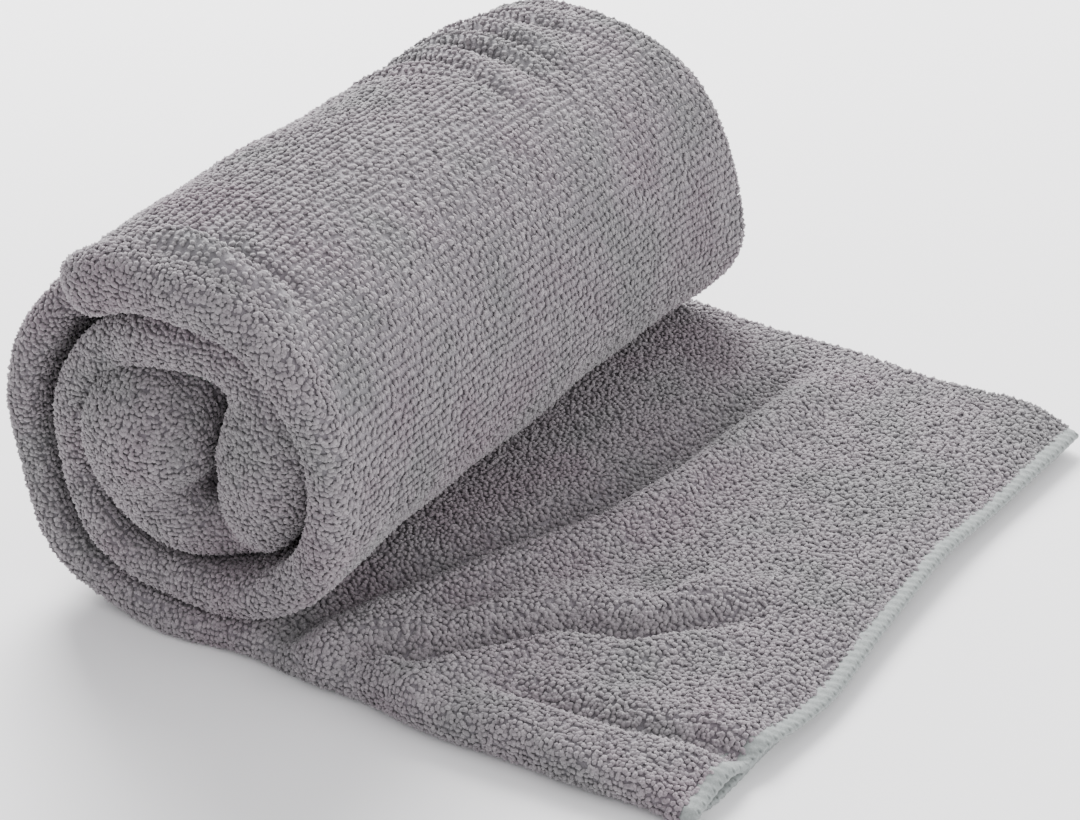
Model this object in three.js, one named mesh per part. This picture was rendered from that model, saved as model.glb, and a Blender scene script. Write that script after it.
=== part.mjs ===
// A quick dry towel with its long edges folded to the middle and then folded in half, rolled up, with
// its loose end lying flat.
// Millimetres, +Z up. The origin is under the middle of the roll, on the surface it lies on:
// +X runs along the loose end, +Y across the folded width, which is also the roll's own axis.
import * as THREE from "three";

// Driving dimensions
const FOLDED_WIDTH = 200; // the towel's width, folded to four layers
const CLOTH = 1.9; // thickness of one layer of looped cloth, lightly pressed
const LAYER_GAP = 0.4; // air between the layers
const HEM = 4; // width of the overlocked band along every cut edge
const CUT_GAP = 0.3; // clearance where a hem meets its cloth, and at the bend line
const END_X = 142; // the loose end's edge
const BEND_X = 54; // the line that the loose end folds up along
const FLAT_TO_X = -4; // the pack lies flat from its end to here

// Worked out from those
const PACK = 4 * CLOTH + 3 * LAYER_GAP; // outer layer, its flap, the inner layer's flap, inner layer
const PITCH = CLOTH + LAYER_GAP;
const HALF_WIDTH = FOLDED_WIDTH / 2;
const NEAR_FOLD_R = PACK / 2; // joins the outer layer to the inner one, round both flaps
const FAR_FOLD_R = CLOTH + LAYER_GAP / 2; // joins each of them to its own flap
const MID_Z = PACK / 2;

// The route of the pack's middle surface round the roll, in the XZ plane, from the flat run inwards:
// one turn outside, most of a second turn inside it, then the core, folded to and fro in two lumps.
const ROLL_ROUTE = [
  [FLAT_TO_X, MID_Z], [-15, 7.5], [-27, 15], [-37, 26.5], [-42.5, 40], [-44, 54], [-39.5, 70], [-29, 84],
  [-14, 93], [1, 95.5], [15, 94], [28, 88], [38, 78.5], [43.5, 67], [45, 54.5], [43, 42.5],
  [36, 31.5], [26, 22], [13, 16], [1, 15], [-12, 18], [-22, 25.5], [-28, 37], [-30, 50], [-27, 63],
  [-19.5, 74], [-9, 81.5], [2, 84], [13, 81.5], [24, 73.5], [31, 61], [32.5, 50], [30, 41.5],
  [25, 37], [20.5, 41], [19.5, 51], [18.5, 59], [14, 63.5], [9.5, 59], [8.5, 50], [8, 40],
  [3, 31], [-6, 28], [-14.5, 33.5], [-18.5, 43], [-18, 55], [-12, 63], [-5.5, 60.5], [-4.5, 52], [-4.5, 43],
].map(([x, z]) => new THREE.Vector2(x, z));

const terry = new THREE.MeshStandardMaterial({ color: 0x8c888c, roughness: 1, metalness: 0 });
const thread = new THREE.MeshStandardMaterial({ color: 0xa3a8a7, roughness: 0.85, metalness: 0 });

const ACROSS = new THREE.Vector3(0, -1, 0);

// A curve in the XZ plane whose sections stay square to it: their first axis points to the outer
// side of the roll and their second one along -Y, wherever on the route the curve starts.
class PlaneRoute extends THREE.Curve {
  computeFrenetFrames(segments) {
    const tangents = Array.from({ length: segments + 1 }, (_, i) => this.getTangentAt(i / segments));
    return {
      tangents,
      normals: tangents.map((t) => new THREE.Vector3(-t.z, 0, t.x)),
      binormals: tangents.map(() => ACROSS.clone()),
    };
  }
}

// A straight run at the pack's mid height, towards -X.
class StraightRun extends PlaneRoute {
  constructor(fromX, toX) {
    super();
    Object.assign(this, { fromX, toX });
  }

  getPoint(t, target = new THREE.Vector3()) {
    return target.set(this.fromX + t * (this.toX - this.fromX), 0, MID_Z);
  }
}

// The roll's route as one curve: the straight run from the bend line, then the spline through ROLL_ROUTE.
class RollRoute extends PlaneRoute {
  constructor(fromX) {
    super();
    this.flat = new StraightRun(fromX, FLAT_TO_X);
    const points = ROLL_ROUTE.map((p) => new THREE.Vector3(p.x, 0, p.y));
    this.turns = new THREE.CatmullRomCurve3(points, false, "centripetal");
    this.flatLength = fromX - FLAT_TO_X;
    this.turnsLength = this.turns.getLength();
    this.total = this.flatLength + this.turnsLength;
  }

  getPoint(t, target = new THREE.Vector3()) {
    const along = t * this.total;
    if (along <= this.flatLength) return this.flat.getPoint(along / this.flatLength, target);
    return this.turns.getPointAt(Math.min(1, (along - this.flatLength) / this.turnsLength), target);
  }
}

// The stretch of a route between two distances along it, as a curve of its own.
class Stretch extends PlaneRoute {
  constructor(route, from, to) {
    super();
    Object.assign(this, { route, from, to });
  }

  getPoint(t, target = new THREE.Vector3()) {
    const along = this.from + t * (this.to - this.from);
    return this.route.getPoint(along / this.route.total, target);
  }
}

// Where a depth into the pack (from its outer face) and a place across it (+ is the far side)
// fall in a section that is swept along a route which starts towards -X.
const section = (depth, across) => new THREE.Vector2(PACK / 2 - depth, -across);

// Points of half a turn round (depth, across), from the outer side to the inner one or back.
function foldArc(depth, across, radius, side, inwards, steps) {
  return Array.from({ length: steps + 1 }, (_, i) => {
    const turn = (Math.PI * (inwards ? i : steps - i)) / steps;
    return section(depth - radius * Math.cos(turn), across + side * radius * Math.sin(turn));
  });
}

// The cloth in section: the outer layer and the inner one, joined by the near fold, and a flap
// turned in from the far side of each, with its free edge close to the near fold.
function packSection() {
  const nearAcross = -HALF_WIDTH + NEAR_FOLD_R;
  const farAcross = HALF_WIDTH - FAR_FOLD_R;
  const outerPair = FAR_FOLD_R;
  const innerPair = PACK - FAR_FOLD_R;
  const flapEdge = nearAcross + HEM + CUT_GAP;
  return new THREE.Shape([
    section(PITCH, flapEdge),
    ...foldArc(outerPair, farAcross, FAR_FOLD_R - CLOTH, 1, false, 2),
    ...foldArc(PACK / 2, nearAcross, NEAR_FOLD_R - CLOTH, -1, true, 3),
    ...foldArc(innerPair, farAcross, FAR_FOLD_R - CLOTH, 1, false, 2),
    section(2 * PITCH + CLOTH, flapEdge),
    section(2 * PITCH, flapEdge),
    ...foldArc(innerPair, farAcross, FAR_FOLD_R, 1, true, 4),
    ...foldArc(PACK / 2, nearAcross, NEAR_FOLD_R, -1, false, 6),
    ...foldArc(outerPair, farAcross, FAR_FOLD_R, 1, true, 4),
    section(PITCH + CLOTH, flapEdge),
  ]);
}

// A flap's hem band in section, on the layer that starts at this depth.
function hemSection(depth) {
  const fromAcross = -HALF_WIDTH + NEAR_FOLD_R;
  return new THREE.Shape([
    section(depth, fromAcross),
    section(depth, fromAcross + HEM),
    section(depth + CLOTH, fromAcross + HEM),
    section(depth + CLOTH, fromAcross),
  ]);
}

function sweep(name, shape, route, steps, material) {
  const geometry = new THREE.ExtrudeGeometry(shape, { extrudePath: route, steps, curveSegments: 1 });
  const mesh = new THREE.Mesh(geometry, material);
  mesh.name = name;
  return mesh;
}

const STEP = 9; // spacing of the sweep's sections round the roll
const whole = new RollRoute(BEND_X - CUT_GAP / 2);
const clothEnd = whole.total - HEM - CUT_GAP;
const rolledCloth = new Stretch(whole, 0, clothEnd);
const innerEnd = new Stretch(whole, clothEnd + CUT_GAP, whole.total);
const rolledSteps = Math.round(clothEnd / STEP);
const looseCloth = new StraightRun(END_X - HEM - CUT_GAP, BEND_X + CUT_GAP / 2);
const outerEnd = new StraightRun(END_X, END_X - HEM);

const outerFlapHem = hemSection(PITCH);
const innerFlapHem = hemSection(2 * PITCH);

const towel = new THREE.Group();
towel.name = "quick_dry_towel";
towel.add(
  sweep("rolled_cloth", packSection(), rolledCloth, rolledSteps, terry),
  sweep("outer_flap_hem_rolled", outerFlapHem, rolledCloth, rolledSteps, thread),
  sweep("inner_flap_hem_rolled", innerFlapHem, rolledCloth, rolledSteps, thread),
  sweep("inner_end_hem", packSection(), innerEnd, 1, thread),
  sweep("loose_end_cloth", packSection(), looseCloth, 1, terry),
  sweep("outer_flap_hem_loose", outerFlapHem, looseCloth, 1, thread),
  sweep("inner_flap_hem_loose", innerFlapHem, looseCloth, 1, thread),
  sweep("outer_end_hem", packSection(), outerEnd, 1, thread),
);

export default towel;
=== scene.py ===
# %% [markdown]
# # A quick dry towel, folded in four and rolled up
# The towel is one cloth of looped terry with an overlocked edge. Its long edges are folded to the
# middle, it is folded in half, rolled up round its own core, and its last hand's breadth lies flat.
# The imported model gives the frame: the bodies that move and the solids that collide. This script
# makes what the eye sees.

import bpy
import numpy as np
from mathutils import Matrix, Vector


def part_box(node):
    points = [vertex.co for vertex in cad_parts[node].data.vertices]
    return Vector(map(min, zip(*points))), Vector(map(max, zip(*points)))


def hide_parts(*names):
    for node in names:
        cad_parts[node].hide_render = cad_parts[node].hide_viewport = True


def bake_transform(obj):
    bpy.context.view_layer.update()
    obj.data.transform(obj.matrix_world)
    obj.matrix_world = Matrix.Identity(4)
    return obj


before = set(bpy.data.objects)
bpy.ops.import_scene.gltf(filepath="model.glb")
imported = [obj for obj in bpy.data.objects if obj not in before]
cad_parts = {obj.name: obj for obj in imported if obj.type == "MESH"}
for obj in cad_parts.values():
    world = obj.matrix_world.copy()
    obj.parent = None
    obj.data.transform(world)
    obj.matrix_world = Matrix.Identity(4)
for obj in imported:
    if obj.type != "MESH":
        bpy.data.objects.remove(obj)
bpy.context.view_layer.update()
MM = 0.001

# %% [markdown]
# ## Sizes
# Everything below is in millimetres until a mesh is made. The folded width, the place of the
# loose end's edge and the thickness of the folded pack come from the frame. One layer of cloth is
# as thick as its loops let it be when they are pressed. The middles of two layers are a little
# further apart than that, and a loop that nothing presses stands up by the height of the pile.

# %% Sizes
CLOTH = 1.9
LAYER_PITCH = 2.3
PILE = 1.1
END_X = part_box("outer_end_hem")[1][0] / MM
HALF_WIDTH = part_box("rolled_cloth")[1][1] / MM
PACK_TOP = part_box("loose_end_cloth")[1][2] / MM
MID_Z = PACK_TOP / 2
print("edge at x =", round(END_X, 1), "half width", round(HALF_WIDTH, 1), "pack", round(PACK_TOP, 2))

# %% [markdown]
# ## The route of the roll
# On the real towel four layers run side by side, so it is enough to know where the middle of that
# pack runs: flat on the table, once round outside, most of once more inside, and then the core,
# where the cloth is folded to and fro in two soft lumps. A person rolls it by eye, so the route is
# given as a list of points. A Catmull-Rom spline passes through them, and a short running
# average takes the last stiffness out of it.

# %% The route, and a table of it every half millimetre
ROUTE = np.array([
    # the foot of the roll, and once round outside
    (0, MID_Z), (-13, 5.2), (-25, 8), (-35, 13.5), (-42, 23.5), (-46, 35.5), (-47, 48), (-45, 62),
    (-38.5, 75), (-28.5, 85.5), (-15, 92.5), (0, 95.3), (14, 94), (27, 88.5), (37.5, 79),
    (43.5, 67.5), (45, 55), (43.5, 43), (37, 31), (27, 21), (13, 15.3),
    # most of a second turn inside it
    (1, 14.3), (-13, 16), (-25, 22.5), (-32.5, 34.5), (-34, 48.5), (-29.5, 61), (-20.5, 71.5),
    (-9, 78), (2, 80), (13, 78.5), (21.5, 73),
    # the core: down one side, round a tight turn, and up again to the cloth's inner end
    (24.5, 64.5), (23.5, 53), (20, 42.5), (13, 34), (5, 31), (-4, 34), (-9, 42), (-9.5, 51),
    (-6.8, 61), (-3, 68), (-0.5, 73.5),
], float)
SPARE = 6.0  # the table starts this far outside the loose end's edge
TABLE_STEP = 0.5
KEPT_ROWS = 20  # rows at either end of the table that the running average leaves alone
END_GAP = 1.0  # the cloth stops this far short of the table's end


def spline(points, per_span=24):
    """Catmull-Rom: in each span, a cubic through its two ends whose slope at each end is half the
    vector between that end's neighbours. Missing neighbours are mirrored."""
    padded = np.vstack([2 * points[0] - points[1], points, 2 * points[-1] - points[-2]])
    a, b, c, d = padded[:-3, None], padded[1:-2, None], padded[2:-1, None], padded[3:, None]
    t = np.linspace(0, 1, per_span, endpoint=False)[None, :, None]
    squares = 2 * a - 5 * b + 4 * c - d
    cubes = 3 * b - a - 3 * c + d
    inside = 0.5 * (2 * b + (c - a) * t + squares * t**2 + cubes * t**3)
    return np.vstack([inside.reshape(-1, 2), points[-1:]])


def evenly(points, step):
    """The same line with a point every step along it."""
    gone = np.concatenate([[0], np.cumsum(np.linalg.norm(np.diff(points, axis=0), axis=1))])
    at = np.arange(0, gone[-1], step)
    return np.stack([np.interp(at, gone, points[:, k]) for k in (0, 1)], 1)


def soften(values, reach):
    """A running average with Gaussian weights, reach being their standard deviation in steps."""
    span = np.arange(-3 * reach, 3 * reach + 1)
    weights = np.exp(-0.5 * (span / reach) ** 2)
    weights /= weights.sum()
    ends = np.pad(values, ((3 * reach, 3 * reach),) + ((0, 0),) * (values.ndim - 1), "edge")
    if values.ndim == 1:
        return np.convolve(ends, weights, "valid")
    return np.stack([np.convolve(ends[:, k], weights, "valid") for k in range(values.shape[1])], 1)


flat_start = np.array([(x, MID_Z) for x in np.arange(END_X + SPARE, 10, -12.0)])
middle = evenly(spline(np.vstack([flat_start, ROUTE])), TABLE_STEP)
middle[KEPT_ROWS:-KEPT_ROWS] = soften(middle, 7)[KEPT_ROWS:-KEPT_ROWS]
travel = np.gradient(middle, axis=0)
travel = soften(travel / np.linalg.norm(travel, axis=1)[:, None], 4)
travel /= np.linalg.norm(travel, axis=1)[:, None]
inward = np.stack([travel[:, 1], -travel[:, 0]], 1)
station = np.arange(len(middle)) * TABLE_STEP - SPARE
LENGTH = station[-1] - END_GAP
print("cut length", round(LENGTH), "mm")

# %% [markdown]
# ## From the pack to a point in space
# A place in the pack has three numbers: v, how far along the route, w, how far across the width,
# and n, how deep, from the middle towards the roll's inside. A roll made by hand isn't the same all
# along: its far end is rolled lower than the near one, lies further to the side and sags. So across
# the width the route goes over to that shape, except where it lies flat. Two tables in the next cell
# finish the outline: one moves the far end's outline out or in, and one gives the roll a belly half
# way across.

# %% Points of the pack
FAR_SHIFT = -11.0
FAR_HEIGHT = 0.905
SAG = 5.0
ROLL_TOP = 95
EASED = 0.35  # part of the change across the width that is eased, the rest being straight


def ease(t):
    """0 below 0, 1 above 1, and 3t^2 - 2t^3 between."""
    t = np.clip(t, 0, 1)
    return t * t * (3 - 2 * t)


def along(column, v):
    """A column of the route's table at the distances v."""
    return np.interp(v, station, column)


in_roll = ease((station - 104) / 96)
above = np.clip(middle[:, 1] - MID_Z, 0, None)
sideways = FAR_SHIFT - 0.02 * middle[:, 0]
downwards = (FAR_HEIGHT - 1) * above - SAG * np.sin(np.pi * above / (ROLL_TOP - MID_Z))
pull = np.stack([sideways, downwards], 1) * in_roll[:, None]


def hem_wave(y):
    """How far the loose end's edge wanders from a straight line: a smooth line through points."""
    at = np.array([-110, -100, -88, -70, -43, -13, 28, 60, 100])
    out = np.array([2.5, 1.0, -1.5, 0.5, 4.0, 0.5, -2.6, -1.4, 0.0])
    fine = np.arange(-115, 111.0)
    return np.interp(y, fine, soften(np.interp(fine, at, out), 7))


def pack_point(v, w, n):
    """Middle line at v, moved by n along its inward normal, plus the far end's pull times its share:
    0 at the near end, 1 at the far one. The far end's outline and the belly move n outwards. The
    edge's wave dies out within a few centimetres of the loose end."""
    across = (w + HALF_WIDTH) / (2 * HALF_WIDTH)
    share = ease(across) * EASED + across * (1 - EASED)
    n = n - share * along(far_out_table, v) - along(belly_table, v) * bump((w + 5) / 62)
    x = along(middle[:, 0], v) + share * along(pull[:, 0], v) + along(inward[:, 0], v) * n
    z = along(middle[:, 1], v) + share * along(pull[:, 1], v) + along(inward[:, 1], v) * n
    x = x + hem_wave(w) * np.exp(-np.clip(v, 0, None) / 38)
    return np.stack([x, w, z], -1)


print("far end", FAR_SHIFT, "mm to the side,", FAR_HEIGHT, "of the near end's height, sags by", SAG, "mm")

# %% [markdown]
# ## How thick the pack is, and where it is creased
# Looped cloth doesn't fold flat. Along each long side the pack swells, and in the core it swells to
# two lumps. Each turn's near rim is set in or stands out by its own amount, most deeply in the
# notch between the two lumps. These are tables over the distance along the route, given at the
# places where the route passes its sides, top and bottom, and softened. The creases that the folding
# left on the flat part, the tuck on top of the roll and the short wrinkles are sums of simple bumps
# over the place in the pack.

# %% Swelling and creases
def bump(t):
    """A Gaussian: 1 at 0, and nearly 0 past 2."""
    return np.exp(-np.square(t))


def v_near(x, z, after=0.0):
    """The distance along the route at which it passes closest to (x, z), searched past after."""
    gap = np.hypot(middle[:, 0] - x, middle[:, 1] - z) + 1e3 * (station < after)
    return station[np.argmin(gap)]


V_FOOT = v_near(-2, MID_Z)
V_LEFT = v_near(-47, 50, V_FOOT)
V_TOP = v_near(7, 95, V_LEFT)
V_RIGHT = v_near(45, 55, V_TOP)
V_UNDER = v_near(10, 15, V_RIGHT)
V_LEFT_2 = v_near(-34, 49, V_UNDER)
V_TOP_2 = v_near(0, 80, V_LEFT_2)
V_LUMP_2 = v_near(24, 55, V_TOP_2)
V_TURN = v_near(5, 31, V_LUMP_2)
V_LUMP_1 = v_near(-9.5, 51, V_TURN)
# how much thicker half the pack is than when it is pressed flat
SWELL_AT = [0, 12, V_FOOT, V_LEFT, V_LEFT + 28, V_LEFT + 38, V_LEFT + 50, V_TOP - 8, V_TOP + 12, V_RIGHT,
            V_UNDER, V_LEFT_2, V_LEFT_2 + 24, V_TOP_2, V_TOP_2 + 14, V_TOP_2 + 24, V_LUMP_2 - 6, V_LUMP_2 + 6,
            V_TURN, V_LUMP_1 - 6, V_LUMP_1 + 2, LENGTH - 9, LENGTH - 2]
SWELL = [0.1, 0.6, 0.4, 0.1, 0.2, 0.4, 3.2, 2.8, 2.4, 1.4,
         0.6, 0.8, 1.8, 2.6, 3.6, 6.4, 8.6, 9.2,
         5.2, 12.4, 13.0, 10.0, 4.0]
swell_table = soften(np.interp(station, SWELL_AT, SWELL), 6)
# how far the near rim is set in, below 0 where it stands out
RECESS_AT = [0, V_LEFT, V_LEFT + 22, V_LEFT + 36, V_LEFT + 50, V_TOP, V_TOP + 25, V_UNDER - 30, V_UNDER,
             V_LEFT_2, V_TOP_2, V_TOP_2 + 12, V_TOP_2 + 24, V_LUMP_2 + 6,
             V_TURN - 13, V_TURN - 6, V_TURN + 2, V_LUMP_1, LENGTH - 8, LENGTH]
RECESS = [0, 0.5, 2.5, 9.5, -4.0, -3.5, -1.0, 0, 1.0,
          2.0, 2.5, 4.5, 7.0, 3.0,
          5.0, 13.0, 5.0, 0.5, 6.0, 16.0]
recess_table = soften(np.interp(station, RECESS_AT, RECESS), 5)
# how far the far end's outline lies outside the route, below 0 inside it
FAR_OUT_AT = [V_TOP - 44, V_TOP - 10, V_RIGHT - 18, V_RIGHT - 2, V_RIGHT + 14, V_RIGHT + 45, V_RIGHT + 64]
FAR_OUT = [0, -1.5, -2.4, -0.8, 3.0, 3.0, 0]
far_out_table = soften(np.interp(station, FAR_OUT_AT, FAR_OUT), 9)
# how far the outer turn stands out half way across, just before the top
BELLY = 3.4
belly_table = BELLY * bump((station - V_TOP + 22) / 36)
# how far the inner layer is drawn out of the notch between the two lumps
TUCKED_AT = [V_LUMP_2 + 4, V_TURN - 6, V_TURN, V_TURN + 6, V_LUMP_1 - 8]
TUCKED = [0, 3.0, 4.5, 3.5, 0]
tucked_table = soften(np.interp(station, TUCKED_AT, TUCKED), 4)
# lines of (x, y) points that the creases of the flat part and the tuck follow, seen from above
VALLEY = np.array([(29, -87), (33, -71), (40, -53), (49, -32), (59, -11),
                   (63, 15), (64, 39), (66, 60), (70, 100)])
SLANT = np.array([(46, -90), (61, -81), (71, -65), (81, -52), (96, -45), (105, -33), (118, -21)])
SIDE_CREASE = np.array([(70, -84), (85, -85), (100, -84), (117, -82), (130, -78), (142, -74)])
TUCK = np.array([(-14, -88), (-8, -84), (0, -79), (7, -79.5), (15, -80.5), (23, -80), (33, -87), (42, -93)])
# short wrinkles on top of the roll: the y they cross at x = -20, their slant, and their depth
WRINKLES = ((64, -0.12, 4.2), (54, -0.12, 3.75), (42, -0.3, 3.0), (80, 0.1, 2.25), (27, 0.15, 1.5))


PRESSED = 1.05  # between the middles of two ground layers with nothing but pressed pile between
LEAST_PACK = 3.2  # from the outer to the inner layer, with both flaps between


def swelling(v, w):
    """Extra half thickness: the table's swell at the near rim, and the table capped at 1.6 mm times
    0.3 in the middle and 0.8 at the far rim, where the roll is wound tighter."""
    near = bump((w + HALF_WIDTH) / 34)
    far = bump((w - HALF_WIDTH) / 16)
    small = np.minimum(along(swell_table, v), 1.6)
    return along(swell_table, v) * near + 0.3 * small * (1 - near) + 0.5 * small * far


def soft_waves(v, w):
    """Low, wide unevenness of cloth that was rolled by hand: a few sines with unlike lengths."""
    return (
        0.45 * np.sin(w / 15.0 + v / 37.0 + 0.6)
        + 0.35 * np.sin(v / 21.0 - w / 47.0 + 2.0)
        + 0.25 * np.sin(w / 7.3 - v / 31.0 + 4.1)
        + 0.18 * np.sin(v / 8.7 + w / 23.0 + 1.3)
    )


def beside(line, x, w):
    """Distance from a line of points to the place: along w, divided by the line's own slant."""
    across = w - np.interp(x, line[:, 0], line[:, 1])
    slant = (np.interp(x + 3, line[:, 0], line[:, 1]) - np.interp(x - 3, line[:, 0], line[:, 1])) / 6
    return across / np.sqrt(1 + slant**2)


def top_creases(v, w):
    """Height of the flat part's top layer: a valley with a ridge beyond it across the towel, a
    slanting one between two ridges near the corner, one along the near side fold, and two low
    swellings. Each valley and ridge is a bump over the distance from its line."""
    x = along(middle[:, 0], v)
    on_flat = ease((x - 14) / 14) * (v < 150)
    across = beside(VALLEY[:, ::-1], w, x)
    fade = (0.6 + 0.4 * bump((w - 10) / 60)) * ease((99 - w) / 34)
    height = (-5.4 * bump(across / 5.5) + 5.6 * bump((across - 12) / 7)) * fade
    slant = beside(SLANT, x, w + 4)
    reach = ease((x - 38) / 16) * ease((126 - x) / 26)
    height += (-4.6 * bump(slant / 4.8) + 4.0 * bump((slant - 8) / 6) + 3.4 * bump((slant + 9) / 6.5)) * reach
    side = beside(SIDE_CREASE, x, w)
    reach = ease((x - 76) / 18) * ease((END_X + 4 - x) / 10)
    height += (-3.6 * bump(side / 4.0) + 2.2 * bump((side + 8) / 6) + 1.8 * bump((side - 7) / 6)) * reach
    swell = 1.4 * bump((x - 92) / 18) * bump((w - 14) / 40) + 0.8 * bump((x - 112) / 14) * bump((w - 58) / 24)
    return (height + swell) * on_flat


def outside_dents(v, w):
    """Depth of the dents in the outer layer: the tuck behind the near rim on top of the roll, with a
    ridge on its near side and a broad, low dent beyond it, and the short wrinkles near its far end,
    each with a ridge beside it."""
    x = along(middle[:, 0], v)
    outside = bump((v - V_TOP) / 60)
    line = w - np.interp(x, TUCK[:, 0], TUCK[:, 1])
    reach = bump((x - 5) / 20) * outside
    tuck = (6.6 * bump(line / 3.4) - 4.6 * bump((line + 8) / 5) + 1.8 * bump((line - 9) / 9)) * reach
    wrinkles = 0
    reach = bump((v - (V_TOP - 22)) / 27)
    for start, slope, depth in WRINKLES:
        line = w - start - slope * (x + 20)
        wrinkles = wrinkles + depth * (bump(line / 2.6) - 0.8 * bump((line - 5.5) / 3.6)) * reach
    return tuck + wrinkles


def on_ground(v):
    """1 where the pack lies on the table, so that it can only swell upwards, easing to 0 at the foot."""
    return ease((V_FOOT + 4 - v) / 24)


def layer_depths(v, w):
    """Depth of the outer layer, its flap, the inner layer's flap and the inner layer. The flaps lie at
    a third and two thirds of the way between them, but under a crease both are pressed to the layer
    that isn't creased. No crease brings the outer and inner layer closer than LEAST_PACK: that floor
    is a hyperbola, so it has no corner. The top layer droops over its end."""
    swell = swelling(v, w)
    waves = soft_waves(v, w)
    ground = on_ground(v)
    droop = 2.7 * bump(np.clip(v, 0, None) / 8) + 0.9 * bump(np.clip(v, 0, None) / 30)
    dents = outside_dents(v, w) * (v < V_UNDER)
    outer = -1.5 * LAYER_PITCH - (swell - waves) * (1 - ground) + dents
    tucked = along(tucked_table, v) * bump((w + HALF_WIDTH) / 34)
    inner = 1.5 * LAYER_PITCH + swell * (1 + ground) + waves * 0.8 + top_creases(v, w) - droop - tucked
    spare = inner + droop - outer - LEAST_PACK
    inner = inner + 0.5 * (np.hypot(spare, 1.2) - spare)
    thick = inner + droop - outer
    under_creases = ground * ease((v - 2) / 14) * ease((92 - w) / 20)
    under_tucks = bump((v - V_TOP) / 34) * np.clip(bump((w + 70) / 34) + bump((w - 55) / 34), 0, 1)
    free = 1 - under_creases - under_tucks
    outer_flap = outer + free * thick / 3 + under_creases * PRESSED + under_tucks * (thick - 2 * PRESSED)
    inner_flap = outer + free * thick / 1.5 + under_creases * 2 * PRESSED + under_tucks * (thick - PRESSED)
    return outer, outer_flap, inner_flap - 0.4 * droop, inner


print("foot of the roll at", V_FOOT, "mm, its top", V_TOP, "its underside", V_UNDER, "core's turn", V_TURN)


# %% [markdown]
# ## The cloth as one surface
# Across its width the cloth runs from the free edge of one flap to the far fold, back as the outer
# layer, round the near fold, out again as the inner layer, and round its far fold to the other
# flap. One number u follows it all the way, and v runs along the towel, so the whole cloth is a
# function of u and v.

# %% The folded cloth
NEAR_RADIUS = 1.5 * LAYER_PITCH
FAR_RADIUS = 0.5 * LAYER_PITCH
NEAR_LINE = -HALF_WIDTH + CLOTH / 2 + NEAR_RADIUS
FAR_LINE = HALF_WIDTH - CLOTH / 2 - FAR_RADIUS
FLAP = FAR_LINE - NEAR_LINE - 0.5
U_LENGTHS = [FLAP, np.pi * FAR_RADIUS, FAR_LINE - NEAR_LINE, np.pi * NEAR_RADIUS, FAR_LINE - NEAR_LINE,
             np.pi * FAR_RADIUS, FLAP]
U_TURN, U_OUTER, U_NEAR, U_INNER, U_FAR, U_FLAP, WIDTH = np.cumsum(U_LENGTHS)
print("cut width", round(WIDTH), "mm")


def slip(w):
    """How much further the lower layers reach than the top one at the loose end: set back along most
    of the edge, showing for a stretch near the near corner, and turned under at the corner."""
    at = np.array([-104, -99, -95, -91, -85, -76, -66, -50, -20, 100])
    out = np.array([-10, -9, -5, -0.8, -0.4, -1.0, -2.6, -4.2, -5.2, -5.5])
    fine = np.arange(-115, 111.0)
    return np.interp(w, fine, soften(np.interp(fine, at, out), 3))


def cloth_middle(u, v):
    """The middle of the cloth. Four layers at their depths, joined by half turns: round the far line
    each layer to its own flap, round the near line an ellipse from outer to inner layer. Then each
    rim is set in or out, and at the loose end the lower layers slip past the top one."""
    first_turn = np.clip((u - U_TURN) / (U_OUTER - U_TURN), 0, 1) * np.pi
    near_turn = np.clip((u - U_NEAR) / (U_INNER - U_NEAR), 0, 1) * np.pi
    last_turn = np.clip((u - U_FAR) / (U_FLAP - U_FAR), 0, 1) * np.pi
    part = [u < U_TURN, u < U_OUTER, u < U_NEAR, u < U_INNER, u < U_FAR, u < U_FLAP]
    w = np.select(
        part,
        [
            FAR_LINE - U_TURN + u,
            FAR_LINE,
            FAR_LINE - u + U_OUTER,
            NEAR_LINE,
            NEAR_LINE + u - U_INNER,
            FAR_LINE,
        ],
        FAR_LINE - u + U_FLAP,
    )
    outer, outer_flap, inner_flap, inner = layer_depths(v, w)
    n = np.select(
        part,
        [
            outer_flap,
            0.5 * (outer + outer_flap) + 0.5 * (outer_flap - outer) * np.cos(first_turn),
            outer,
            0.5 * (outer + inner) - 0.5 * (inner - outer) * np.cos(near_turn),
            inner,
            0.5 * (inner + inner_flap) + 0.5 * (inner - inner_flap) * np.cos(last_turn),
        ],
        inner_flap,
    )
    near_bulge = NEAR_RADIUS + 0.6 * np.clip(0.5 * (inner - outer) - NEAR_RADIUS, 0, None)
    far_bulge = 0.5 * (outer_flap - outer) * np.sin(first_turn)
    far_bulge = far_bulge + 0.5 * (inner - inner_flap) * np.sin(last_turn)
    w = w - near_bulge * np.sin(near_turn) + far_bulge
    # the near end's relief, then the small unevenness of both rims
    w = w + along(recess_table, v) * bump((w + HALF_WIDTH) / 62)
    w = w + (0.9 * np.sin(v / 15.0 + 0.5) + 0.6 * np.sin(v / 6.1)) * bump((w + HALF_WIDTH) / 25)
    w = w - (2.0 - 1.2 * np.sin(v / 19.0 + 2.0) - 0.8 * np.sin(v / 8.3)) * bump((w - HALF_WIDTH) / 25)
    point = pack_point(v, w, n)
    lower = np.where(u < U_INNER, 1 - ease((near_turn / np.pi - 0.02) / 0.5), ease(last_turn / np.pi))
    back = 4.0 * ((u < U_TURN) + (u > U_FLAP)) + 2.0 * (np.sin(first_turn) + np.sin(last_turn))
    point[..., 0] += (slip(w) - back) * lower * np.exp(-np.clip(v, 0, None) / 34)
    return point


def cloth_normal(u, v):
    """Unit normal on the side that the folded towel shows: the cross product of the two slopes."""
    du = cloth_middle(u + 0.3, v) - cloth_middle(u - 0.3, v)
    dv = cloth_middle(u, v + 0.6) - cloth_middle(u, v - 0.6)
    normal = np.cross(du, dv)
    return normal / np.linalg.norm(normal, axis=-1, keepdims=True)


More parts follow.
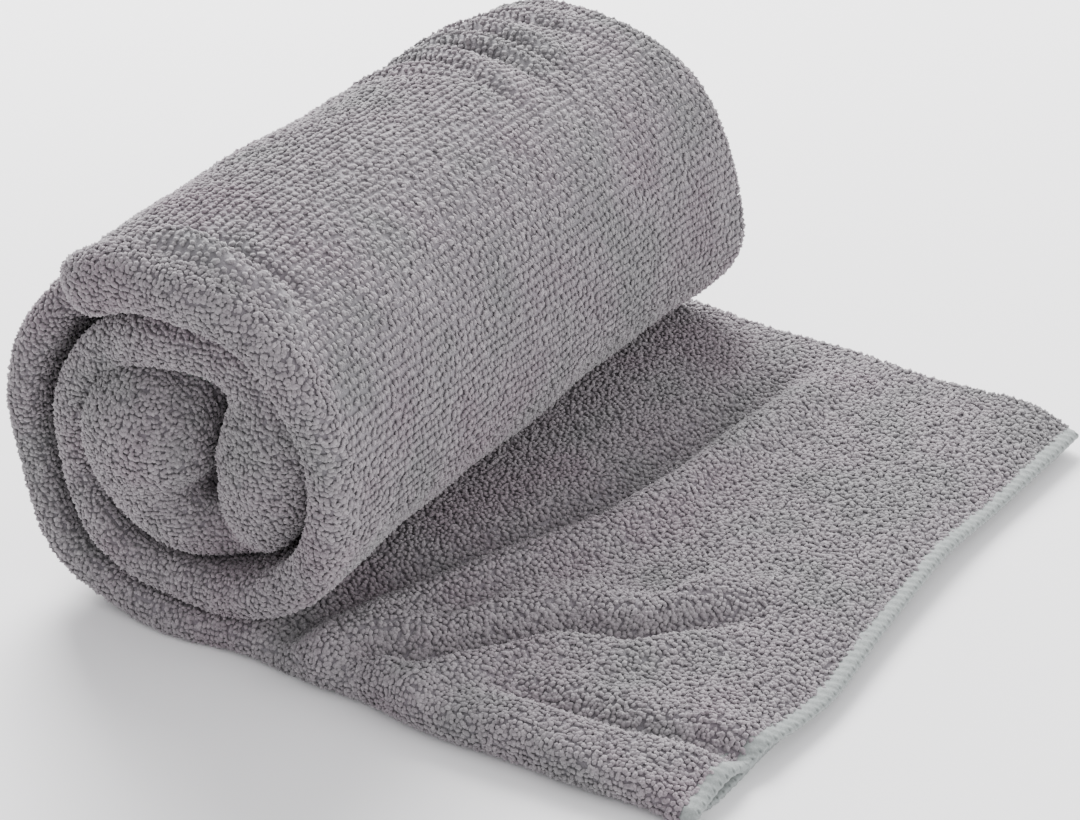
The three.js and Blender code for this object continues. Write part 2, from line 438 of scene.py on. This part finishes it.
# %% [markdown]
# ## Helpers for meshes and materials
# A mesh is made from whole arrays. Colours are given as sRGB hex values, as in a paint program, and
# one function turns them to the linear values that Blender computes with.

# %% Helpers
def new_mesh(name, vertices, faces, uv=None, attributes=None, smooth=True):
    """An object at the origin from vertices in millimetres and an array of faces, with its own UV map
    (one pair per face corner) and point attributes."""
    mesh = bpy.data.meshes.new(name)
    mesh.vertices.add(len(vertices))
    mesh.vertices.foreach_set("co", (np.asarray(vertices) * MM).astype(np.float32).ravel())
    faces = np.asarray(faces, np.int32)
    corners = faces.shape[1]
    mesh.loops.add(faces.size)
    mesh.loops.foreach_set("vertex_index", faces.ravel())
    mesh.polygons.add(len(faces))
    mesh.polygons.foreach_set("loop_start", np.arange(0, faces.size, corners, dtype=np.int32))
    mesh.polygons.foreach_set("loop_total", np.full(len(faces), corners, np.int32))
    if uv is not None:
        layer = mesh.uv_layers.new(name="OFBake")
        layer.data.foreach_set("uv", np.asarray(uv, np.float32).ravel())
    for key, values in (attributes or {}).items():
        attribute = mesh.attributes.new(key, "FLOAT", "POINT")
        attribute.data.foreach_set("value", np.asarray(values, np.float32).ravel())
    mesh.update(calc_edges=True)
    mesh.validate()
    mesh.polygons.foreach_set("use_smooth", np.full(len(mesh.polygons), smooth))
    made = bpy.data.objects.new(name, mesh)
    bpy.context.scene.collection.objects.link(made)
    print(name, len(mesh.vertices), "vertices", len(mesh.polygons), "faces")
    return made


def grid_faces(rows, columns, wrap=False):
    """Quads between neighbouring points of a rows by columns grid. If wrap is set, the last column
    is joined to the first."""
    index = np.arange(rows * columns).reshape(rows, columns)
    right = np.roll(index, -1, axis=1) if wrap else index[:, 1:]
    left = index if wrap else index[:, :-1]
    quads = np.stack([left[:-1], right[:-1], right[1:], left[1:]], -1)
    return quads.reshape(-1, 4)


def to_linear(hex_colour):
    """sRGB hex to linear RGBA: the standard curve, a straight foot and a power of 2.4 above it."""
    value = np.array([int(hex_colour[k:k + 2], 16) for k in (1, 3, 5)]) / 255
    linear = np.where(value <= 0.04045, value / 12.92, ((value + 0.055) / 1.055) ** 2.4)
    return (*linear.tolist(), 1.0)


def add_node(tree, kind, settings=None, **inputs):
    """One node with its settings, each input set to a value or linked to a socket. An input goes by
    its name, with _ for a space, or by its number, as in i6."""
    node = tree.nodes.new(kind)
    for key, value in (settings or {}).items():
        setattr(node, key, value)
    for key, value in inputs.items():
        numbered = key[0] == "i" and key[1:].isdigit()
        socket = node.inputs[int(key[1:]) if numbered else key.replace("_", " ")]
        if isinstance(value, bpy.types.NodeSocket):
            tree.links.new(value, socket)
        else:
            socket.default_value = value
    return node


def new_material(name):
    """An empty node material: returns it, its tree and its output node."""
    made = bpy.data.materials.new(name)
    made.use_nodes = True
    made.node_tree.nodes.clear()
    output = made.node_tree.nodes.new("ShaderNodeOutputMaterial")
    return made, made.node_tree, output


# %% [markdown]
# ## The finishes
# Looped microfibre terry is matt, with a soft sheen where fibres stand against the light. It is a
# melange: loops of warm, cool and greenish grey mixed, so each loop carries a number that picks its
# grey. Wide, faint clouds of tint lie over that. The ground under the loops is painted darker, as
# painted shade for the little light that gets down there. The overlock thread is a smoother, lighter,
# greenish grey.

# %% Materials
def terry_material(name, dark, base, light, tint_a, tint_b):
    """Base Color: dark to light by the loop's own number, then two clouds of tint a few centimetres
    wide, and fine noise as fibre."""
    made, tree, output = new_material(name)
    coordinates = add_node(tree, "ShaderNodeTexCoord")
    position = coordinates.outputs["Object"]
    shade = add_node(tree, "ShaderNodeAttribute", {"attribute_name": "shade"})
    ramp = add_node(tree, "ShaderNodeValToRGB", Fac=shade.outputs["Fac"])
    stops = ramp.color_ramp.elements
    stops[0].color = to_linear(dark)
    stops[1].color = to_linear(light)
    middle_stop = stops.new(0.45)
    middle_stop.color = to_linear(base)
    # clouds of tint about 25 mm wide
    clouds = add_node(tree, "ShaderNodeTexNoise", Vector=position, Scale=40.0, Detail=2.0)
    warm = add_node(tree, "ShaderNodeMapRange", Value=clouds.outputs["Fac"],
                    i1=0.52, i2=0.68, i3=0.0, i4=0.55)
    mixed = add_node(tree, "ShaderNodeMix", {"data_type": "RGBA", "blend_type": "MULTIPLY"},
                     i0=warm.outputs["Result"], i6=ramp.outputs["Color"], i7=to_linear(tint_a))
    cool = add_node(tree, "ShaderNodeMapRange", Value=clouds.outputs["Fac"],
                    i1=0.48, i2=0.34, i3=0.0, i4=0.55)
    mixed = add_node(tree, "ShaderNodeMix", {"data_type": "RGBA", "blend_type": "MULTIPLY"},
                     i0=cool.outputs["Result"], i6=mixed.outputs[2], i7=to_linear(tint_b))
    # single fibres are 0.02 mm wide: drawn at about 0.4 mm so that they show
    fibres = add_node(tree, "ShaderNodeTexNoise", Vector=position, Scale=2400.0, Detail=3.0)
    strength = add_node(tree, "ShaderNodeMapRange", Value=fibres.outputs["Fac"],
                        i1=0.3, i2=0.7, i3=0.84, i4=1.14)
    colour = add_node(tree, "ShaderNodeVectorMath", {"operation": "SCALE"},
                      i0=mixed.outputs[2], i3=strength.outputs["Result"])
    relief = add_node(tree, "ShaderNodeBump", Height=fibres.outputs["Fac"], Strength=0.5, Distance=0.0004)
    shader = add_node(tree, "ShaderNodeBsdfPrincipled", Base_Color=colour.outputs["Vector"],
                      Roughness=0.95, Normal=relief.outputs["Normal"])
    shader.inputs["Specular IOR Level"].default_value = 0.25
    shader.inputs["Sheen Weight"].default_value = 0.35
    shader.inputs["Sheen Roughness"].default_value = 0.6
    tree.links.new(shader.outputs["BSDF"], output.inputs["Surface"])
    return made


def thread_material():
    """Spun polyester overlock thread: a light greenish grey, with painted shade in the needle holes,
    where it turns darker, and the thread's own twist as fine noise."""
    made, tree, output = new_material("overlock_spun_polyester")
    coordinates = add_node(tree, "ShaderNodeTexCoord")
    pit_and_painted_shade = add_node(tree, "ShaderNodeAttribute", {"attribute_name": "pit_and_painted_shade"})
    ramp = add_node(tree, "ShaderNodeValToRGB", Fac=pit_and_painted_shade.outputs["Fac"])
    stops = ramp.color_ramp.elements
    stops[0].color = to_linear("#848988")
    # the darker stop is painted shade in the needle holes
    stops[1].color = to_linear("#4d5352")
    twist = add_node(tree, "ShaderNodeTexNoise", Vector=coordinates.outputs["Object"], Scale=1800.0,
                     Detail=3.0)
    strength = add_node(tree, "ShaderNodeMapRange", Value=twist.outputs["Fac"],
                        i1=0.3, i2=0.7, i3=0.84, i4=1.12)
    colour = add_node(tree, "ShaderNodeVectorMath", {"operation": "SCALE"},
                      i0=ramp.outputs["Color"], i3=strength.outputs["Result"])
    relief = add_node(tree, "ShaderNodeBump", Height=twist.outputs["Fac"], Strength=0.35, Distance=0.0003)
    shader = add_node(tree, "ShaderNodeBsdfPrincipled", Base_Color=colour.outputs["Vector"],
                      Roughness=0.7, Normal=relief.outputs["Normal"])
    shader.inputs["Sheen Weight"].default_value = 0.2
    tree.links.new(shader.outputs["BSDF"], output.inputs["Surface"])
    return made


ROSE = "#f2e2eb"
SAGE = "#dfece4"
pile_finish = terry_material("looped_microfibre_pile", "#70696e", "#847d82", "#999296", ROSE, SAGE)
# the ground's three greys are darker than the pile's: painted shade between the loops
ground_painted_shade_finish = terry_material("terry_ground_weave_painted_shade", "#686268", "#787278", "#827c81", ROSE, SAGE)
thread_finish = thread_material()
print("finishes:", pile_finish.name, ground_painted_shade_finish.name, thread_finish.name)

# %% [markdown]
# ## The ground cloth
# The woven ground is a sheet 0.9 mm thick. The grid is finer round the two folds, where the cloth
# turns within a few millimetres, and across the tuck and the creases, than where little happens.
# Solidify gives it its thickness, so its edges are closed.

# %% Ground cloth
GROUND = 0.9
u_lines = np.concatenate([
    np.linspace(0.6, U_TURN, 6, endpoint=False),
    np.linspace(U_TURN, U_OUTER, 4, endpoint=False),
    np.linspace(U_OUTER, U_OUTER + 22, 7, endpoint=False),
    np.linspace(U_OUTER + 22, U_OUTER + 80, 29, endpoint=False),
    np.linspace(U_OUTER + 80, U_NEAR - 30, 22, endpoint=False),
    np.linspace(U_NEAR - 30, U_NEAR, 20, endpoint=False),
    np.linspace(U_NEAR, U_INNER, 14, endpoint=False),
    np.linspace(U_INNER, U_INNER + 90, 46, endpoint=False),
    np.linspace(U_INNER + 90, U_FAR, 32, endpoint=False),
    np.linspace(U_FAR, U_FLAP, 4, endpoint=False),
    np.linspace(U_FLAP, WIDTH - 0.6, 6),
])
v_lines = np.concatenate([
    np.linspace(0.6, V_FOOT, 86, endpoint=False),
    np.linspace(V_FOOT, V_UNDER, 104, endpoint=False),
    np.linspace(V_UNDER, LENGTH - 0.6, 66),
])
uu, vv = np.meshgrid(u_lines, v_lines)
points = cloth_middle(uu, vv)
faces = grid_faces(*uu.shape)
uv_grid = np.stack([uu / WIDTH, vv / LENGTH], -1).reshape(-1, 2)
# each place on the ground has a middling grey of its darker ramp: painted shade under the loops
cloth = new_mesh("terry_cloth", points.reshape(-1, 3), faces, uv_grid[faces].reshape(-1, 2),
                 {"shade": np.full(uu.size, 0.5)})
cloth.data.materials.append(ground_painted_shade_finish)
thickness = cloth.modifiers.new("thickness", "SOLIDIFY")
thickness.thickness = GROUND * MM
thickness.offset = 0.0
thickness.use_even_offset = False

# %% [markdown]
# ## The loop pile
# Terry's loops stand in rows across the towel. On the roll the cloth is stretched and the rows part
# a little, so they show, two millimetres apart. On the flat part they close up and the loops lie
# every way. Only the loops that can be seen are made: all of the outside of the roll, the top and
# underside of the loose end, and a strip along each side of every turn.

# %% Where the loops stand
ROW = 1.95
LOOP = 1.2
random = np.random.default_rng(7)
V_HIDDEN = V_UNDER - 14  # past here the outer layer's outside can't be seen
V_WEDGE = v_near(16, MID_Z)  # past here the roll lies on the flat part's top
V_RISE = V_FOOT - 16  # from here on the cloth is stretched
CUT_EDGE = 3.4  # the first loops stand this far in from the loose end's edge
STRETCHED = 1.25
SLOPE_STEP = 0.2  # half the distance that a slope is measured over
NEAR_STRIP = 34
FAR_STRIP = 18


def slopes(u, v):
    """How far the surface goes for one step of u, and for one step of v: 1 where nothing stretches."""
    du = cloth_middle(u + SLOPE_STEP, v) - cloth_middle(u - SLOPE_STEP, v)
    dv = cloth_middle(u, v + SLOPE_STEP) - cloth_middle(u, v - SLOPE_STEP)
    return [np.linalg.norm(d, axis=-1) / (2 * SLOPE_STEP) for d in (du, dv)]


def rows_between(u0, u1, v0, v1, row=ROW, loop=LOOP, jitter=0.18):
    """Loops in rows over a rectangle of the cloth, each row shifted by half a loop, then jittered.
    Where a dent's slope stretches the cloth by more than a quarter, a second loop stands between."""
    v = np.arange(v0, v1, row)
    u = np.arange(u0, u1, loop)
    uu, vv = np.meshgrid(u, v)
    uu = uu + (np.arange(len(v)) % 2)[:, None] * loop / 2
    vv = vv + random.normal(0, jitter, uu.shape)
    uu = uu + random.normal(0, jitter, uu.shape)
    uu, vv = uu.ravel(), vv.ravel()
    across, down = (slope > STRETCHED for slope in slopes(uu, vv))
    filled_u = np.concatenate([uu, uu[across] + loop / 2, uu[down]])
    filled_v = np.concatenate([vv, vv[across], vv[down] + row / 2])
    return filled_u, filled_v


def evenly_scattered(u0, u1, v0, v1, gap):
    """Loops about gap apart on the cloth's real surface, however much the pack swells there. Random
    places, thinned so that they lie as close everywhere on that surface, are sorted into cubes of
    that size, and each cube keeps the one closest to its middle. v // 40 keeps turns apart."""
    u = random.uniform(u0, u1, int((u1 - u0) * (v1 - v0) * 40 / gap**2))
    v = random.uniform(v0, v1, u.size)
    du, dv = slopes(u, v)
    keep = random.uniform(0, 5, u.size) < du * dv
    u, v = u[keep], v[keep]
    place = cloth_middle(u, v) / gap
    cell = np.floor(place).astype(int)
    off = np.linalg.norm(place - cell - 0.5, axis=1)
    key = np.column_stack([cell, v // 40])
    nearest_first = np.argsort(off)
    _, first = np.unique(key[nearest_first], axis=0, return_index=True)
    chosen = nearest_first[first]
    return u[chosen], v[chosen]


row_zones = [rows_between(U_OUTER, U_NEAR - 2, V_RISE, V_HIDDEN)]
loose_zones = [
    # the loose end's underside and its top
    rows_between(U_OUTER, U_NEAR - 2, CUT_EDGE, V_RISE, 2.0, 1.5, 0.25),
    rows_between(U_INNER + 2, U_FAR, CUT_EDGE, V_WEDGE, 1.15, 1.08, 0.27),
    # the near fold, and a strip of the outer and inner layer beside it
    evenly_scattered(U_NEAR - 2, U_INNER + 2, CUT_EDGE, LENGTH - 3, 1.15),
    evenly_scattered(U_NEAR - NEAR_STRIP, U_NEAR - 2, V_HIDDEN, LENGTH - 3, 1.35),
    evenly_scattered(U_INNER + 2, U_INNER + NEAR_STRIP, V_WEDGE, LENGTH - 3, 1.35),
    # the two far folds, and a strip of the inner and outer layer beside them
    evenly_scattered(U_TURN, U_OUTER, CUT_EDGE, LENGTH - 3, 1.3),
    evenly_scattered(U_FAR, U_FLAP, CUT_EDGE, LENGTH - 3, 1.3),
    evenly_scattered(U_FAR - FAR_STRIP, U_FAR, V_WEDGE, LENGTH - 3, 1.5),
    evenly_scattered(U_OUTER, U_OUTER + FAR_STRIP, V_HIDDEN, LENGTH - 3, 1.5),
]
in_rows = sum(len(zone[0]) for zone in row_zones)
loop_u = np.concatenate([zone[0] for zone in row_zones + loose_zones])
loop_v = np.concatenate([zone[1] for zone in row_zones + loose_zones])
print(len(loop_u), "loops,", in_rows, "of them in rows")

# %% [markdown]
# Use presses and twists each loop, so it is drawn as a small pointed lump that leans its own way: a
# closed spindle of seven points, a foot inside the ground, a ring of five about half way up, and a
# tip. In the rows its long side lies along the towel, give or take; elsewhere it lies any way. The
# tip leans by about 0.4 mm. Where the towel lies on the table the loops are pressed short.

# %% The loops as meshes
RING = 5
LOOPS_PER_PIECE = 19000
LONG_HALF = 0.95
SHORT_HALF = 0.70
ROOT = 0.1  # the spindle stands on a plane this far below the ground's face


def loop_pieces(u, v):
    """Spindles on the cloth's face: ring points at centre + a cos + b sin in the tangent plane,
    raised along the normal, the tip above them and the foot below."""
    base = cloth_middle(u, v)
    normal = cloth_normal(u, v)
    tangent = cloth_middle(u + 0.3, v) - cloth_middle(u - 0.3, v)
    tangent /= np.linalg.norm(tangent, axis=-1, keepdims=True)
    side = np.cross(normal, tangent)
    count = len(u)
    is_in_row = np.arange(count) < in_rows
    turn = np.where(is_in_row, random.normal(np.pi / 2, 0.45, count), random.uniform(0, np.pi, count))
    long_way = np.cos(turn)[:, None] * tangent + np.sin(turn)[:, None] * side
    short_way = np.cross(normal, long_way)
    size = random.normal(1.0, 0.13, count).clip(0.6, 1.5) * np.where(is_in_row, 1.0, 0.88)
    height = PILE * random.normal(1.0, 0.16, count).clip(0.5, 1.5)
    # nothing reaches below the table
    room = (base[:, 2] - 0.15) / np.clip(-normal[:, 2], 0.2, None) - GROUND / 2
    height = np.where(normal[:, 2] < -0.2, np.minimum(height, np.clip(room, 0.35, None)), height)
    lean = random.normal(0, 0.38, (2, count, 1))
    angle = np.arange(RING) / RING * 2 * np.pi + random.uniform(0, 1.2, (count, 1))
    wobble = random.uniform(0.85, 1.15, (count, RING))
    long_half = LONG_HALF * size[:, None] * np.cos(angle) * wobble
    short_half = SHORT_HALF * size[:, None] * np.sin(angle) * wobble
    surface = base + normal * (GROUND / 2 - ROOT)
    leaning = lean[0] * long_way + lean[1] * short_way
    ring = (
        surface[:, None]
        + normal[:, None] * (0.52 * height)[:, None, None]
        + long_half[..., None] * long_way[:, None]
        + short_half[..., None] * short_way[:, None]
        + 0.4 * leaning[:, None]
    )
    tip = surface + normal * height[:, None] + leaning
    foot = surface - normal * 0.3
    return np.concatenate([ring, tip[:, None], foot[:, None]], 1)


def spindle_faces(count):
    """Triangles of all spindles, from each side of the ring to the tip and to the foot, and those of
    one alone."""
    here = np.arange(RING)
    there = (here + 1) % RING
    up = np.stack([here, there, np.full(RING, RING)], 1)
    down = np.stack([there, here, np.full(RING, RING + 1)], 1)
    one = np.concatenate([up, down])
    return (one[None] + (np.arange(count) * (RING + 2))[:, None, None]).reshape(-1, 3), one


def spindle_uv(count, one):
    """Each spindle has its own small square cell of the map, its ring round the cell's middle."""
    cells = int(np.ceil(np.sqrt(count)))
    angle = np.arange(RING) / RING * 2 * np.pi
    ring = 0.5 + 0.4 * np.stack([np.cos(angle), np.sin(angle)], 1)
    local = np.vstack([ring, [[0.5, 0.5]], [[0.5, 0.5]]])
    corner = np.stack([np.arange(count) % cells, np.arange(count) // cells], 1)
    return ((corner[:, None, None] + local[one][None]) / cells).reshape(-1, 2)


spindles = loop_pieces(loop_u, loop_v)
shades = random.normal(0.5, 0.15, len(loop_u)).clip(0, 1)
order = np.argsort(loop_v + 1000 * (loop_u > 0.5 * (U_NEAR + U_INNER)))
pieces = int(np.ceil(len(order) / LOOPS_PER_PIECE))
pile = []
for number, chosen in enumerate(np.array_split(order, pieces)):
    faces, one = spindle_faces(len(chosen))
    made = new_mesh(f"loop_pile_{number + 1}", spindles[chosen].reshape(-1, 3), faces,
                    spindle_uv(len(chosen), one), {"shade": np.repeat(shades[chosen], RING + 2)})
    made.data.materials.append(pile_finish)
    pile.append(made)

# %% [markdown]
# ## The overlocked edges
# An overlock machine trims the edge and wraps it in thread: strands lie side by side across the
# edge, slanting a little, and at every stitch the needle leaves a small hole. The wrapping is one
# closed skin round the cloth's edge: an oval section carried along it, with the strands as ribs and
# the needle holes as pits.

# %% Overlock wrapping
STITCH = 2.7
STRAND = 0.68
BAND = 4.0
HALF_THICK = 1.15


def wrapping(name, edge_u, edge_v, into_u, into_v, length, step, around=20):
    """An oval section round the cloth's edge: a goes from just outside the edge to the band's width,
    and h is the height above the cloth's middle. Ribs: a cosine of the way along plus a slant. Pits:
    narrow bumps once per stitch, near the outer rim of the oval, above and below. A point outside
    the cut edge takes its normal from just inside it. Fans of triangles close both ends."""
    s = np.arange(0, length, step)
    turn = np.arange(around) / around * 2 * np.pi
    ss, tt = np.meshgrid(s, turn, indexing="ij")
    a = BAND / 2 - 0.4 - (BAND / 2 + 0.25) * np.cos(tt)
    phase = ss / STITCH - np.round(ss / STITCH)
    pit_and_painted_shade = bump(phase / 0.11) * (bump((tt - 0.62) / 0.34) + bump((tt - 2 * np.pi + 0.62) / 0.34))
    ribs = 0.11 * np.cos(2 * np.pi * (ss + 0.35 * a) / STRAND)
    swell = 0.12 * np.cos(2 * np.pi * ss / STITCH + 0.8 * a)
    half = HALF_THICK + 0.1 * np.sin(ss / 9.0) + ribs + swell - 0.55 * pit_and_painted_shade
    h = half * np.sign(np.sin(tt)) * np.abs(np.sin(tt)) ** 0.7
    a = a - (ribs + swell - 0.3 * pit_and_painted_shade) * np.cos(tt)
    u = edge_u(ss) + into_u * a
    v = edge_v(ss) + into_v * a
    flat_u = edge_u(ss) + into_u * np.clip(a, 0.3, None)
    flat_v = edge_v(ss) + into_v * np.clip(a, 0.3, None)
    points = cloth_middle(u, v) + cloth_normal(flat_u, flat_v) * h[..., None]
    points[..., 2] = np.maximum(points[..., 2], 0.05)
    rows, columns = ss.shape
    quads = grid_faces(rows, columns, wrap=True)
    caps = []
    count = rows * columns
    for row in (0, rows - 1):
        ring = np.arange(columns) + row * columns
        beyond = np.roll(ring, -1)
        hub = np.full(columns, count + len(caps))
        caps.append(np.stack([ring, beyond, hub] if row else [beyond, ring, hub], 1))
    hubs = np.stack([points[0].mean(0), points[-1].mean(0)])
    vertices = np.vstack([points.reshape(-1, 3), hubs])
    triangles = np.vstack([quads[:, [0, 1, 2]], quads[:, [0, 2, 3]], *caps])
    map_u = np.concatenate([(tt / (2 * np.pi)).ravel(), [0.5, 0.5]])
    map_v = np.concatenate([(ss / length).ravel(), [0.0, 1.0]])
    uv = np.stack([map_u, map_v], 1)[triangles]
    # a triangle across the section's seam keeps its corners together, past the map's right side
    around_seam = (uv[..., 0].max(1) - uv[..., 0].min(1) > 0.6)[:, None] & (uv[..., 0] < 0.3)
    uv[..., 0] += around_seam
    uv[..., 0] /= 1.05
    # the pit number also darkens the thread there in the material: painted shade in the needle holes
    made = new_mesh(name, vertices, triangles, uv.reshape(-1, 2),
                    {"pit_and_painted_shade": np.concatenate([pit_and_painted_shade.ravel(), [0, 0]])})
    made.data.materials.append(thread_finish)
    return made


hems = [
    wrapping("end_overlock", lambda s: s, lambda s: 0 * s, 0, 1, WIDTH, 0.3),
    wrapping("core_end_overlock", lambda s: WIDTH - s, lambda s: LENGTH + 0 * s, 0, -1, WIDTH, 0.8, 12),
    wrapping("outer_flap_overlock", lambda s: 0 * s, lambda s: LENGTH - s, 1, 0, LENGTH, 0.8, 12),
    wrapping("inner_flap_overlock", lambda s: WIDTH + 0 * s, lambda s: s, -1, 0, LENGTH, 0.8, 12),
]

# %% [markdown]
# ## The pieces in place, and the frame's cloth hidden
# The loose end folds up off the table about a line across the towel. Here the made pieces are fixed
# in place in the world, and the frame's own cloth and hem parts are hidden, as the made pieces show
# them.

# %% Pieces in place, and the frame's cloth hidden
for piece in (cloth, *pile, *hems):
    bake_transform(piece)
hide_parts("rolled_cloth", "loose_end_cloth")
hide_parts("outer_end_hem")
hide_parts("inner_end_hem")
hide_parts("outer_flap_hem_rolled", "outer_flap_hem_loose")
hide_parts("inner_flap_hem_rolled", "inner_flap_hem_loose")

# %% [markdown]
# ## Floor, light and camera
# A pale floor and a bright, even surround, with one large soft light high up behind the roll on its
# outer side, and a weak, low one beyond the loose end. So the top of the roll is the lightest part
# and the near end's hollows are the darkest. The camera looks down on the near end and the loose end.

# %% Floor
floor = new_mesh("floor", np.array([(-3000, -3000, 0), (3000, -3000, 0), (3000, 3000, 0), (-3000, 3000, 0)]),
                 [(0, 1, 2, 3)], smooth=False)
floor_finish, tree, output = new_material("matt_white_paper")
shader = add_node(tree, "ShaderNodeBsdfPrincipled", Base_Color=to_linear("#f4f3f4"), Roughness=0.9)
tree.links.new(shader.outputs["BSDF"], output.inputs["Surface"])
floor.data.materials.append(floor_finish)

# %% Lights
world = bpy.data.worlds.new("bright_surround")
bpy.context.scene.world = world
world.use_nodes = True
background = world.node_tree.nodes["Background"]
background.inputs["Color"].default_value = to_linear("#f2f2f4")
background.inputs["Strength"].default_value = 1.2


def soft_light(name, place, size, power):
    """A square area light aimed at the middle of the towel. A lamp shines along its own -Z, so it is
    tipped by its angle from overhead and then turned about Z."""
    data = bpy.data.lights.new(name, "AREA")
    data.size = size
    data.energy = power
    lamp = bpy.data.objects.new(name, data)
    lamp.location = place
    bpy.context.scene.collection.objects.link(lamp)
    target = np.array([0.03, 0.0, 0.04])
    away = np.array(place) - target
    tip = np.arctan2(np.hypot(away[0], away[1]), away[2])
    lamp.rotation_euler = (tip, 0.0, np.arctan2(away[1], away[0]) + np.pi / 2)
    print(name, "light of", power, "W")


soft_light("key", (-0.75, 0.85, 0.95), 0.9, 76.0)
soft_light("fill", (1.1, 0.1, 0.38), 1.0, 10.0)

# %% Camera
camera_data = bpy.data.cameras.new("camera")
camera_data.sensor_width = 36.0
camera_data.lens = 114.5
camera = bpy.data.objects.new("camera", camera_data)
camera.location = (0.444, -0.625, 0.4623)
camera.rotation_euler = (np.radians(90 - 30.3), 0.0, np.radians(33.0))
bpy.context.scene.collection.objects.link(camera)
bpy.context.scene.camera = camera
print("camera with a", camera_data.lens, "mm lens at", tuple(round(c, 3) for c in camera.location))
